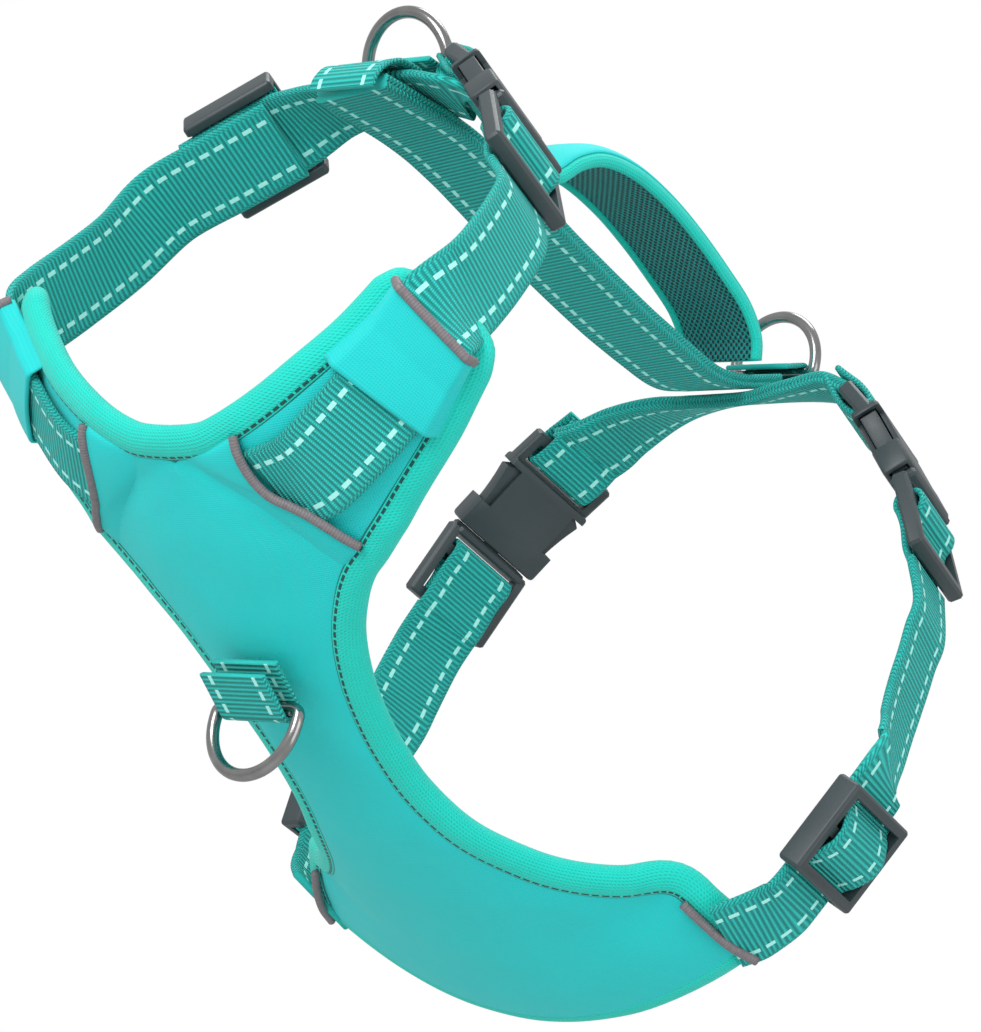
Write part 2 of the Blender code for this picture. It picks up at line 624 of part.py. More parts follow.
def ring_loop(bar, up, out, reach):
    """Route of a tab that comes along under a ring's bar, turns round it and lies back on itself."""
    along = Vector(up).normalized()
    away = Vector(out).normalized()
    turn = RING_WIRE + GAP + TAB_THICK / 2
    route = [(bar - along * reach - away * turn, away), (bar - along * reach * 0.5 - away * turn, away)]
    for i in range(7):
        angle = -math.pi / 2 + math.pi * i / 6
        spoke = along * math.cos(angle) + away * math.sin(angle)
        route.append((bar + spoke * turn, -spoke))
    route += [(bar - along * reach * 0.5 + away * turn, -away), (bar - along * reach + away * turn, -away)]
    return route


TOP_RING_BAR = mm(0, -4.5, 11)
FRONT_RING_BAR = mm(0, 38, -161.5)
REAR_RING_BAR = mm(0, 174.4, 36.2)
TOP_TAB = [
    (mm(0, -24.6, -7), (0, -0.97, 0.24)), (mm(0, -25, -3.5), (0, -1, 0.1)), (mm(0, -23, 1.6), (0, -0.8, 0.6)),
    (mm(0, -18.5, 5.2), (-0.05, -0.3, 0.95)), (mm(0, -12, 7), (-0.06, -0.2, 0.98)),
]


def add_rings():
    width = WEB_WIDTH - 1.5 * MM
    add_ring("top_d_ring", TOP_RING_BAR, (0, -0.61, 0.79))
    add_strap("top_ring_tab", TOP_TAB + ring_loop(TOP_RING_BAR, (0, 1, 0.2), (0, -0.2, 1), 6 * MM), 30,
              width=width, thickness=TAB_THICK)
    add_ring("front_d_ring", FRONT_RING_BAR, (0, 0.2, -0.98))
    add_strap("front_ring_tab", ring_loop(FRONT_RING_BAR, (0, 0.93, -0.36), (0, -0.36, -0.93), 13 * MM), 22,
              width=width, thickness=TAB_THICK)
    add_ring("rear_d_ring", REAR_RING_BAR, (0, -0.3, 0.95))
    add_strap("rear_ring_tab", ring_loop(REAR_RING_BAR, (0, 0.8, 0.6), (0, -0.6, 0.8), 8 * MM), 22,
              width=width, thickness=TAB_THICK)


def add_handle():
    for name, level, thick in HANDLE_LAYERS:
        frames = frames_along(HANDLE_ROUTE, 16)
        mesh = strip_mesh(name, frames, HANDLE_WIDTH, (level + thick / 2) * MM)
        mat = {"handle_foam": FOAM, "handle_cover": FABRIC}.get(name, MESH_FABRIC)
        add_solidify(add_object(name, mesh, mat), thick * MM, 0)


def loop_route(mouth, pull, out, bend, route):
    """Webbing from just below the plug's outer bar to the strap's join."""
    frame = plug_frame(pose_matrix(mouth, pull, out), bend)
    start = (frame @ Vector((0, PLUG_END + 6 * GAP, 0)), frame.to_3x3() @ Vector((0, 0, 1)))
    return [start] + route


def add_straps():
    add_strap("back_strap", BACK_ROUTE, 24, thickness=DOUBLE_THICK)
    add_strap("neck_strap_over", NECK_OVER, 20)
    add_strap("neck_strap_right", arm_route("right", ARM_STARTS["right"], 5) + NECK_RIGHT_RISE, 30)
    add_strap("neck_strap_left", arm_route("left", ARM_STARTS["left"], 6) + NECK_LEFT_RISE, 16)
    neck_loop = loop_route(NECK_MOUTH, NECK_PULL, NECK_OUT, NECK_BEND, NECK_LEFT_LOOP[::-1])
    add_strap("neck_strap_left_loop", neck_loop, 14, thickness=DOUBLE_THICK)
    add_strap("girth_strap_over", GIRTH_OVER, 22, thickness=DOUBLE_THICK)
    for side, plan in SIDES.items():
        loop = loop_route(plan["mouth"], plan["pull"], plan["out"], plan["bend"], plan["loop"])
        add_strap(f"girth_strap_{side}_loop", loop, 14, thickness=DOUBLE_THICK)
        add_strap(f"girth_strap_{side}", plan["lower"], 22)


def add_fittings():
    add_buckle("neck_buckle", NECK_MOUTH, NECK_PULL, NECK_OUT, NECK_BEND)
    add_slider("neck_slider", NECK_SLIDER, NECK_SLIDER_PULL, NECK_SLIDER_OUT, WEB_THICK / 2)
    for side, plan in SIDES.items():
        add_buckle(f"girth_buckle_{side}", plan["mouth"], plan["pull"], plan["out"], plan["bend"])
        add_slider(f"girth_slider_{side}", plan["slider"], plan["slider_pull"], plan["slider_out"], WEB_THICK / 2)


add_chest_plate()
add_bindings()
add_piping()
add_straps()
add_fittings()
add_rings()
add_handle()
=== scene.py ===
"""No pull dog harness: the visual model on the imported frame."""
import math

import bmesh
import bpy
from mathutils import Matrix, Vector, noise


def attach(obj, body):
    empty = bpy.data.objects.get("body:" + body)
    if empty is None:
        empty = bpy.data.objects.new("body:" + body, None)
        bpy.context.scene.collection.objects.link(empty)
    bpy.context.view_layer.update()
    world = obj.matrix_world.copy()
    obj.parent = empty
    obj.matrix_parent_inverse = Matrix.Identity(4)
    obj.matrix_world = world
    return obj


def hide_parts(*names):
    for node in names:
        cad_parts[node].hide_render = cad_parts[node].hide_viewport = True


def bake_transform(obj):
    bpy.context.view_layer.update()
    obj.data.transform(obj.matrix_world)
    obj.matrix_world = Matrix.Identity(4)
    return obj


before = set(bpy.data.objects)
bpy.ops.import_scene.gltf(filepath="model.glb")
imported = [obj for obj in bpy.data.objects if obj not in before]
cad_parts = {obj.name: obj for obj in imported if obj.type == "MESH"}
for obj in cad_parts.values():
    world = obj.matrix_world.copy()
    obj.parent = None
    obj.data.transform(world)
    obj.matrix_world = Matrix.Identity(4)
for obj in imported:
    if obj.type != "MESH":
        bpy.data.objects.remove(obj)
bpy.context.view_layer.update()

MM = 0.001
GAP = 0.3 * MM
WEB = 25 * MM
SINGLE = 2.3 * MM
DOUBLE = 4.1 * MM
ROOT = "harness"


def mm(x, y, z):
    return Vector((x, y, z)) * MM


# ---------------------------------------------------------------- routes, as the CAD has them
PANEL_ROWS = [
    (mm(0, 181, -178), mm(76, 166.5, -159)), (mm(0, 171, -178), mm(72.5, 158, -158)),
    (mm(0, 160, -177), mm(69, 149.5, -156.5)), (mm(0, 148, -176), mm(64.5, 141.5, -154.5)),
    (mm(0, 136, -174.5), mm(54, 136, -160)), (mm(0, 123, -173), mm(43, 127, -164)),
    (mm(0, 109, -171), mm(32, 114, -166)), (mm(0, 94, -168.5), mm(23.5, 98, -166)),
    (mm(0, 78, -164.5), mm(18.5, 80, -162.5)), (mm(0, 60, -160), mm(18, 61, -157.5)),
    (mm(0, 43, -155), mm(21, 43, -151.5)), (mm(0, 27, -149), mm(26, 28.5, -145)),
    (mm(0, 12, -142.5), mm(32.5, 17.5, -139)), (mm(0, -2, -136), mm(38, 11.5, -134.5)),
    (mm(0, -13, -130), mm(43, 8.5, -131)), (mm(0, -22, -125), mm(47, 5.5, -128)),
    (mm(13, -24, -123.5), mm(50.5, 3, -125.5)), (mm(26, -27, -119.5), mm(55, 0, -121.5)),
    (mm(37.5, -29.5, -113.5), mm(61, -4, -116.5)), (mm(48, -32, -106), mm(67, -8, -110.5)),
    (mm(57, -33.5, -98), mm(72.5, -12, -104.5)), (mm(64, -35, -90.5), mm(77, -15.5, -98)),
    (mm(69.5, -36.5, -83), mm(81.5, -19, -91)),
]
NECK_ROW = 15
ARM_BULGE = 0.8 * MM
ARM_END = 22
LAST = len(PANEL_ROWS) - 1
BACK_ROUTE = [
    (mm(0, -21.5, -4.6), (-0.12, -0.24, 1)), (mm(0, -9, -1.4), (-0.13, -0.24, 1)),
    (mm(0, 10, 3.1), (-0.15, -0.16, 1)), (mm(0, 30, 5), (-0.16, -0.04, 1)), (mm(0, 64, 5.3), (-0.16, -0.01, 1)),
    (mm(0, 100, 7), (-0.15, -0.06, 1)), (mm(0, 124, 9.4), (-0.12, -0.12, 1)), (mm(0, 140, 12), (-0.08, -0.3, 1)),
    (mm(0, 152.6, 18.6), (-0.02, -0.55, 0.83)), (mm(0, 165.4, 28), (0, -0.6, 0.8)),
]
NECK_OVER = [
    (mm(-59.4, -7.2, -20.8), (-0.6, 0.24, 0.75)), (mm(-47.8, -5.9, -11.6), (-0.6, 0.24, 0.75)),
    (mm(-38, -4.7, -3.9), (-0.6, 0.24, 0.75)), (mm(-26, -5.4, 1.6), (-0.3, -0.1, 0.94)),
    (mm(-13, -6, 3.6), (-0.1, -0.24, 0.97)), (mm(0, -6, 4.9), (-0.08, -0.24, 0.97)),
    (mm(11, -4.6, 5.8), (0.02, -0.2, 0.97)), (mm(21, -2.4, 4.9), (0.3, -0.1, 0.95)),
]
NECK_RIGHT_RISE = [
    (mm(-77.4, -24, -76), (-0.99, -0.12, -0.02)), (mm(-75.8, -17.4, -62), (-0.99, -0.05, 0.1)),
    (mm(-72.2, -12, -47), (-0.92, 0.05, 0.38)), (mm(-66, -9.4, -30.5), (-0.66, 0.2, 0.72)),
    (mm(-50, -7.5, -18.1), (-0.6, 0.24, 0.75)), (mm(-36, -5.7, -7.1), (-0.6, 0.24, 0.75)),
]
NECK_LEFT_RISE = [(mm(78.2, -25.4, -77.6), (0.99, -0.12, 0))]
NECK_LEFT_LOOP = [
    (mm(78.3, -24, -74.4), (0.99, -0.1, 0)), (mm(77.8, -20.4, -64.5), (0.98, 0, 0.14)),
    (mm(76.2, -17, -54), (0.95, 0.06, 0.3)), (mm(73.6, -14.4, -45), (0.88, 0.1, 0.45)),
]
GIRTH_OVER = [
    (mm(44.5, 157.6, 17.4), (0.42, -0.24, 0.87)), (mm(32, 159.4, 19.2), (0.15, -0.45, 0.88)),
    (mm(16, 163, 20.6), (0.04, -0.58, 0.8)), (mm(0, 165.2, 21.4), (0, -0.6, 0.8)),
    (mm(-14, 165.2, 20.4), (-0.06, -0.56, 0.82)), (mm(-27, 164.4, 16.6), (-0.24, -0.42, 0.87)),
    (mm(-38, 164.3, 10.6), (-0.5, -0.2, 0.84)), (mm(-45.5, 164.6, 5), (-0.62, 0, 0.78)),
]
SIDES = {
    "left": {
        "mouth": mm(79.5, 162.5, -15.5), "pull": (0.67, 0.12, -0.73), "out": (0.73, 0.1, 0.68), "bend": 12,
        "loop": [
            (mm(96.2, 165.6, -54), (0.97, 0.22, 0.1)), (mm(96.8, 165.4, -63), (0.97, 0.24, 0.04)),
            (mm(97.6, 165.2, -73), (0.97, 0.25, 0)), (mm(98.3, 164.8, -83), (0.97, 0.25, -0.04)),
        ],
        "lower": [
            (mm(98.5, 164.7, -85.6), (0.97, 0.25, -0.05)), (mm(100.2, 163.4, -93.5), (0.96, 0.24, -0.1)),
            (mm(102.8, 161.4, -101.5), (0.93, 0.2, -0.26)), (mm(104.6, 159.9, -108.9), (0.9, 0.15, -0.4)),
            (mm(97, 160.5, -126.2), (0.9, 0.15, -0.4)), (mm(89.4, 161.1, -143.5), (0.9, 0.15, -0.4)),
            (mm(86, 160.8, -148.8), (0.72, 0.05, -0.68)), (mm(80.8, 159.2, -154.6), (0.5, -0.1, -0.86)),
            (mm(74.6, 157.8, -158.9), (0.32, -0.12, -0.94)),
        ],
        "slider": mm(97, 160.5, -126.2), "slider_pull": (-0.4, 0.033, -0.913), "slider_out": (0.9, 0.15, -0.4),
    },
    "right": {
        "mouth": mm(-77, 168, -30), "pull": (-0.54, 0.05, -0.84), "out": (-0.82, 0.2, 0.53), "bend": 18,
        "loop": [
            (mm(-84.4, 167.8, -66), (-0.96, 0.2, 0.14)), (mm(-85.4, 167.6, -74), (-0.97, 0.22, 0.08)),
            (mm(-86, 167.4, -82), (-0.97, 0.24, 0.03)), (mm(-86.4, 167.2, -90), (-0.97, 0.24, 0)),
        ],
        "lower": [
            (mm(-86.5, 167.1, -92.6), (-0.97, 0.24, 0)), (mm(-87, 165.8, -98), (-0.97, 0.22, -0.04)),
            (mm(-87.5, 163.2, -103.6), (-0.98, 0.15, -0.08)), (mm(-87.7, 161.1, -109), (-0.99, 0.04, -0.1)),
            (mm(-86, 161.5, -126), (-0.99, 0.04, -0.1)), (mm(-84.3, 161.9, -143), (-0.99, 0.04, -0.1)),
            (mm(-82.8, 161.5, -148.8), (-0.9, 0, -0.43)), (mm(-80, 159.8, -154.8), (-0.6, -0.1, -0.78)),
            (mm(-74.6, 158, -158.9), (-0.34, -0.12, -0.93)),
        ],
        "slider": mm(-86, 161.5, -126), "slider_pull": (0.1, 0.023, -0.995), "slider_out": (-0.99, 0.04, -0.1),
    },
}
NECK_PLAN = {"mouth": mm(51.5, -6.5, -13), "pull": (0.74, -0.2, -0.64), "out": (0.62, 0.1, 0.78), "bend": 10}
NECK_SLIDER = (mm(-46, -5.5, -9.6), (-0.782, -0.092, -0.617), (-0.6, 0.24, 0.75))
HANDLE_ROUTE = [
    (mm(0, 34, 8.8), (-0.16, -0.02, 1)), (mm(0, 42, 9.8), (-0.14, -0.3, 0.95)), (mm(0, 49, 15.5), (0, -0.8, 0.6)),
    (mm(0, 55, 24.5), (0, -0.8, 0.6)), (mm(0, 63, 31.5), (0, -0.55, 0.83)), (mm(0, 76, 36.3), (0, -0.22, 0.97)),
    (mm(0, 92, 38.2), (0, -0.03, 1)), (mm(0, 108, 37.8), (0, 0.06, 1)), (mm(0, 124, 36), (0, 0.12, 0.99)),
    (mm(0, 137, 33.8), (0, 0.28, 0.96)), (mm(0, 145.5, 29.5), (0, 0.7, 0.71)), (mm(0, 149, 24), (0, 0.95, 0.3)),
]
PLUG_END = 27 * MM
SOCKET_END = 37 * MM
SLEEVE = 26 * MM
BAR = 3.2 * MM
FLAT_HALF = 2.3 * MM
RINGS = {
    "top_d_ring": (mm(0, -4.5, 11), (0, -0.61, 0.79)),
    "front_d_ring": (mm(0, 38, -161.5), (0, 0.2, -0.98)),
    "rear_d_ring": (mm(0, 174.4, 36.2), (0, -0.3, 0.95)),
}
TOP_TAB = [
    (mm(0, -24.6, -7), (0, -0.97, 0.24)), (mm(0, -25, -3.5), (0, -1, 0.1)), (mm(0, -23, 1.6), (0, -0.8, 0.6)),
    (mm(0, -18.5, 5.2), (-0.05, -0.3, 0.95)), (mm(0, -12, 7), (-0.06, -0.2, 0.98)),
]


# ---------------------------------------------------------------- materials
class Nodes:
    """A small builder for one material's node tree."""

    def __init__(self, name, roughness, metallic=0.0, sheen=0.0):
        self.mat = bpy.data.materials.new(name)
        self.mat.use_nodes = True
        self.tree = self.mat.node_tree
        self.shader = self.tree.nodes["Principled BSDF"]
        self.shader.inputs["Roughness"].default_value = roughness
        self.shader.inputs["Metallic"].default_value = metallic
        self.shader.inputs["Sheen Weight"].default_value = sheen

    def node(self, kind, **inputs):
        made = self.tree.nodes.new(kind)
        for key, value in inputs.items():
            self.put(made.inputs[key], value)
        return made

    def put(self, socket, value):
        if isinstance(value, bpy.types.NodeSocket):
            self.tree.links.new(value, socket)
        else:
            socket.default_value = value

    def math(self, operation, a, b=0.0):
        made = self.tree.nodes.new("ShaderNodeMath")
        made.operation = operation
        self.put(made.inputs[0], a)
        self.put(made.inputs[1], b)
        return made.outputs[0]

    def uv(self):
        """Across and along the cloth, in millimetres."""
        layer = self.tree.nodes.new("ShaderNodeUVMap")
        layer.uv_map = "cloth"
        split = self.node("ShaderNodeSeparateXYZ", Vector=layer.outputs[0])
        return layer.outputs[0], split.outputs[0], split.outputs[1]

    def wave(self, value, pitch, sharp=1.0):
        """0 in a groove, 1 on a ridge, repeating each pitch."""
        turned = self.math("SINE", self.math("MULTIPLY", value, 2 * math.pi / pitch))
        half = self.math("MULTIPLY_ADD", turned, 0.5)
        half.node.inputs[2].default_value = 0.5
        return self.math("POWER", half, sharp)

    def mix(self, factor, a, b):
        made = self.tree.nodes.new("ShaderNodeMix")
        made.data_type = "RGBA"
        self.put(made.inputs[0], factor)
        self.put(made.inputs[6], a)
        self.put(made.inputs[7], b)
        return made.outputs[2]

    def speckle(self, scale, vector=None, detail=3.0):
        made = self.node("ShaderNodeTexNoise", Scale=scale, Detail=detail)
        if vector is None:
            vector = self.tree.nodes.new("ShaderNodeTexCoord").outputs["Object"]
        self.put(made.inputs["Vector"], vector)
        return made.outputs[0]

    def bump(self, height, distance, strength=1.0):
        made = self.node("ShaderNodeBump", Height=height, Distance=distance, Strength=strength)
        self.put(self.shader.inputs["Normal"], made.outputs[0])

    def colour(self, value):
        self.put(self.shader.inputs["Base Color"], value)


def rgb(red, green, blue):
    """Linear colour from display values."""
    out = []
    for value in (red, green, blue):
        value /= 255
        out.append(value / 12.92 if value <= 0.04045 else ((value + 0.055) / 1.055) ** 2.4)
    return (*out, 1)


def webbing_material():
    m = Nodes("ribbed_webbing", 0.75, sheen=0.05)
    vector, across, along = m.uv()
    # painted shade: the rib grooves are coloured dark and the ridges light, scaled by the yarn pattern; the same mask
    # drives the bump
    rib = m.wave(along, 1.45, 0.8)
    yarn = m.wave(m.math("ADD", across, m.math("MULTIPLY", along, 0.15)), 0.62)
    wear = m.speckle(0.35, vector)
    shade = m.math("MULTIPLY", rib, m.math("MULTIPLY_ADD", yarn, 0.3))
    shade.node.inputs[1].links[0].from_node.inputs[2].default_value = 0.7
    body = m.mix(shade, rgb(0, 134, 128), rgb(44, 240, 230))
    body = m.mix(m.math("MULTIPLY", wear, 0.35), body, rgb(10, 176, 168))
    reach = m.math("ABSOLUTE", across)
    edge = m.math("GREATER_THAN", reach, 11.3)
    twill = m.wave(m.math("ADD", across, m.math("MULTIPLY", along, 1.0)), 1.3)
    body = m.mix(edge, body, m.mix(twill, rgb(6, 150, 142), rgb(30, 214, 204)))
    line = m.math("LESS_THAN", m.math("ABSOLUTE", m.math("SUBTRACT", reach, 7.9)), 0.65)
    run = m.math("LESS_THAN", m.math("FLOORED_MODULO", along, 4.6), 2.9)
    dash = m.math("MULTIPLY", line, run)
    m.colour(m.mix(dash, body, rgb(176, 255, 246)))
    m.bump(m.math("MAXIMUM", shade, dash), 0.0007, 1.0)
    return m.mat


def fabric_material(name, light, dark, pitch=0.7, depth=0.00012, sheen=0.08):
    """Smooth woven cloth."""
    m = Nodes(name, 0.72, sheen=sheen)
    vector, across, along = m.uv()
    warp = m.wave(across, pitch)
    weft = m.wave(along, pitch)
    weave = m.math("MULTIPLY", warp, weft)
    cloud = m.speckle(0.06, vector, 4.0)
    body = m.mix(m.math("MULTIPLY", weave, 0.35), light, dark)
    m.colour(m.mix(m.math("MULTIPLY", cloud, 0.35), body, dark))
    m.bump(m.math("ADD", weave, m.math("MULTIPLY", cloud, 2.0)), depth, 0.6)
    return m.mat


def binding_material():
    """Soft knitted tape with a dark row of stitches beside its inner edge, and painted shade on the tape past the
    stitches.
    """
    m = Nodes("binding_tape", 0.85, sheen=0.15)
    vector, across, along = m.uv()
    knit = m.math("MULTIPLY", m.wave(across, 0.9), m.wave(m.math("ADD", along, across), 1.1))
    cloud = m.speckle(0.12, vector, 4.0)
    body = m.mix(m.math("MULTIPLY", knit, 0.3), rgb(8, 226, 208), rgb(2, 190, 176))
    body = m.mix(m.math("MULTIPLY", cloud, 0.3), body, rgb(10, 176, 164))
    reach = m.math("ABSOLUTE", across)
    row = m.math("LESS_THAN", m.math("ABSOLUTE", m.math("SUBTRACT", reach, STITCH_AT)), 0.4)
    run = m.math("LESS_THAN", m.math("FLOORED_MODULO", along, 2.6), 1.9)
    stitch = m.math("MULTIPLY", row, run)
    # painted shade: the tape past the stitch row, towards the seam, is coloured darker as the seam's shadow
    body = m.mix(m.math("GREATER_THAN", reach, STITCH_AT + 0.8), body, rgb(6, 120, 114))
    m.colour(m.mix(stitch, body, rgb(4, 84, 80)))
    m.bump(m.math("SUBTRACT", m.math("ADD", knit, cloud), m.math("MULTIPLY", row, 2.0)), 0.0003, 0.7)
    return m.mat


def mesh_material():
    """Spacer mesh with rows of small holes."""
    m = Nodes("air_mesh", 0.8, sheen=0.1)
    vector, across, along = m.uv()
    one = m.math("MULTIPLY", m.wave(across, 1.9), m.wave(along, 2.4))
    two = m.math("MULTIPLY", m.wave(m.math("ADD", across, 0.95), 1.9), m.wave(m.math("ADD", along, 1.2), 2.4))
    hole = m.math("MAXIMUM", one, two)
    cut = m.math("GREATER_THAN", hole, 0.5)
    body = m.mix(m.speckle(1.2, vector), rgb(22, 186, 184), rgb(12, 150, 150))
    # painted shade: the holes are coloured near-black teal, as the shade inside them
    m.colour(m.mix(cut, body, rgb(3, 62, 64)))
    m.bump(m.math("SUBTRACT", 1.0, hole), 0.0008, 1.0)
    return m.mat


def piping_material():
    m = Nodes("reflective_piping", 0.5)
    vector, across, along = m.uv()
    body = m.mix(m.speckle(0.8, vector), rgb(150, 142, 146), rgb(104, 98, 102))
    m.colour(m.mix(m.math("MULTIPLY", m.wave(along, 0.8), 0.3), body, rgb(84, 80, 84)))
    m.bump(m.wave(along, 0.8), 0.0001, 0.6)
    return m.mat


def plastic_material():
    m = Nodes("moulded_plastic", 0.42)
    grain = m.speckle(900.0)
    cloud = m.speckle(45.0)
    m.colour(m.mix(cloud, rgb(50, 60, 64), rgb(66, 77, 80)))
    m.put(m.shader.inputs["Roughness"], m.math("MULTIPLY_ADD", cloud, 0.25))
    m.shader.inputs["Roughness"].links[0].from_node.inputs[2].default_value = 0.3
    m.bump(grain, 0.00006, 0.5)
    return m.mat


def steel_material():
    m = Nodes("nickel_wire", 0.2, metallic=1.0)
    cloud = m.speckle(160.0, detail=6.0)
    m.colour(m.mix(cloud, rgb(176, 176, 174), rgb(120, 121, 122)))
    m.put(m.shader.inputs["Roughness"], m.math("MULTIPLY_ADD", cloud, 0.2))
    m.shader.inputs["Roughness"].links[0].from_node.inputs[2].default_value = 0.1
    m.bump(m.speckle(1400.0), 0.00003, 0.4)
    return m.mat


STITCH_AT = 9.1   # binding stitches, round the tape from the middle of its roll
WEBBING = webbing_material()
SHELL = fabric_material("shell_fabric", rgb(12, 218, 216), rgb(4, 196, 196))
BINDING = binding_material()
MESH = mesh_material()
PIPING = piping_material()
PLASTIC = plastic_material()
STEEL = steel_material()


# ---------------------------------------------------------------- curves and frames
def catmull(points, position):
    """Point on a smooth curve through the points; position counts spans."""
    last = len(points) - 1
    i = min(int(position), last - 1)
    t = position - i
    p1, p2 = points[i], points[i + 1]
    p0 = points[i - 1] if i > 0 else p1 * 2 - p2
    p3 = points[i + 2] if i + 2 <= last else p2 * 2 - p1
    return 0.5 * (2 * p1 + (p2 - p0) * t + (2 * p0 - 5 * p1 + 4 * p2 - p3) * t * t
                  + (3 * p1 - p0 - 3 * p2 + p3) * t * t * t)


def frames_along(route, count):
    """(centre, across, normal) along a route, about evenly spaced."""
    centres = [Vector(centre) for centre, _ in route]
    normals = [Vector(normal).normalized() for _, normal in route]
    last = len(route) - 1
    fine = 40 * last
    walked = [0.0]
    for i in range(fine):
        step = (catmull(centres, last * (i + 1) / fine) - catmull(centres, last * i / fine)).length
        walked.append(walked[-1] + step)
    frames = []
    at = 0
    for i in range(count + 1):
        goal = walked[-1] * i / count
        while at < fine - 1 and walked[at + 1] < goal:
            at += 1
        part = (goal - walked[at]) / max(walked[at + 1] - walked[at], 1e-9)
        position = last * min(at + part, fine) / fine
        ahead = catmull(centres, min(position + 0.01, last))
        behind = catmull(centres, max(position - 0.01, 0))
        tangent = (ahead - behind).normalized()
        normal = catmull(normals, position)
        normal = (normal - tangent * normal.dot(tangent)).normalized()
        frames.append((catmull(centres, position), tangent.cross(normal), normal))
    return frames


def panel_point(position, t):
    inner = catmull([row[0] for row in PANEL_ROWS], position)
    outer = catmull([row[1] for row in PANEL_ROWS], position)
    wrap = min(max((NECK_ROW + 1 - position) / 2, 0), 1)
    rise = wrap * t * t + (1 - wrap) * t
    point = inner + (outer - inner) * rise
    point.x = inner.x + (outer.x - inner.x) * t
    away = Vector((0.6, -0.6, -0.5)).normalized()
    return point + away * ((1 - wrap) * ARM_BULGE * 4 * t * (1 - t))


def panel_normal(position, t):
    step = 0.02
    along = panel_point(min(position + step, LAST), t) - panel_point(max(position - step, 0), t)
    over = panel_point(position, min(t + step, 1)) - panel_point(position, max(t - step, 0))
    normal = over.cross(along)
    if t < step and position < NECK_ROW:
        normal.x = 0
    normal.normalize()
    return normal if normal.z < 0 else -normal


def pose_matrix(place, along, out):
    """Local X across the strap, Y along it, Z outwards."""
    y_axis = Vector(along).normalized()
    z_axis = Vector(out)
    z_axis = (z_axis - y_axis * z_axis.dot(y_axis)).normalized()
    x_axis = y_axis.cross(z_axis)
    return Matrix.Translation(place) @ Matrix((x_axis, y_axis, z_axis)).transposed().to_4x4()


# ---------------------------------------------------------------- mesh makers
def new_object(name, mesh, mat, body=ROOT):
    obj = bpy.data.objects.new(name, mesh)
    bpy.context.scene.collection.objects.link(obj)
    mesh.materials.append(mat)
    for face in mesh.polygons:
        face.use_smooth = True
    if body:
        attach(obj, body)
    return obj


def sweep(name, frames, profile, mat, body=ROOT, closed=False, scale=None):
    """A solid along frames; profile points are (across, out, u in mm) in order round the section."""
    bm = bmesh.new()
    layer = bm.loops.layers.uv.new("cloth")
    rings = []
    walked = [0.0]
    for i, (centre, side, normal) in enumerate(frames):
        if i:
            walked.append(walked[-1] + (centre - frames[i - 1][0]).length / MM)
        grow = scale(i / (len(frames) - 1)) if scale else 1.0
        rings.append([bm.verts.new(centre + side * (x * grow) + normal * (z * grow)) for x, z, _ in profile])
    count = len(profile)
    total = len(rings)
    for i in range(total if closed else total - 1):
        k = (i + 1) % total
        for j in range(count):
            n = (j + 1) % count
            face = bm.faces.new((rings[i][j], rings[i][n], rings[k][n], rings[k][j]))
            far = walked[i + 1] if i + 1 < total else walked[-1] + 1
            u_here, u_next = profile[j][2], profile[n][2]
            if abs(u_next - u_here) > 14:
                u_next = u_here
            for loop, uv in zip(face.loops, ((u_here, walked[i]), (u_next, walked[i]), (u_next, far), (u_here, far))):
                loop[layer].uv = uv
    if not closed:
        for ring, turn in ((rings[0], -1), (rings[-1], 1)):
            face = bm.faces.new(ring[::turn])
            for loop in face.loops:
                loop[layer].uv = (0, 0)
    bmesh.ops.recalc_face_normals(bm, faces=bm.faces)
    mesh = bpy.data.meshes.new(name)
    bm.to_mesh(mesh)
    bm.free()
    return new_object(name, mesh, mat, body)


def web_profile(width, thick, double=False):
    """Section of flat webbing with rounded selvedges, or of two layers sewn together."""
    half, rise = width / 2, thick / 2
    soft = min(0.5 * MM, rise * 0.6)
    steps = 14
    top = [(-half + soft + (width - 2 * soft) * i / steps, rise) for i in range(steps + 1)]
    if double:
        edge = [(half, rise - soft), (half, soft), (half - 0.6 * MM, 0), (half, -soft), (half, soft - rise)]
    else:
        edge = [(half, rise - soft), (half + 0.1 * MM, 0), (half, soft - rise)]
    loop = top + edge + [(x, -z) for x, z in top[::-1]] + [(-x, -z) for x, z in edge]
    points = []
    for x, z in loop:
        u = x / MM
        if abs(x) > half - 0.7 * MM and abs(z) < rise - 0.01 * MM:
            u = math.copysign(half / MM + (rise - abs(z)) / MM, x)
        points.append((x, z, u))
    return points


def strap(name, route, node=None, body=ROOT, width=WEB, thick=SINGLE, double=False, lift=0.0, step=0.8 * MM):
    length = sum((Vector(b[0]) - Vector(a[0])).length for a, b in zip(route, route[1:]))
    frames = frames_along(route, max(int(length / step), 8))
    moved = []
    for centre, side, normal in frames:
        ripple = noise.noise(centre * 90) * 0.12 * MM
        moved.append((centre + normal * (lift + ripple), side, normal))
    piece = sweep(name, moved, web_profile(width, thick, double), WEBBING, body)
    if node:
        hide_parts(node)
    return piece


def oval(half_width, half_thick, count=28, start=0.0):
    """Oval section; u counts millimetres round it from the outer roll."""
    points = []
    around = 2 * math.pi * math.sqrt((half_width ** 2 + half_thick ** 2) / 2) / MM
    for i in range(count):
        angle = 2 * math.pi * i / count
        u = around * (i / count if i <= count / 2 else i / count - 1)
        points.append((half_width * math.cos(angle), half_thick * math.sin(angle), u))
    return points


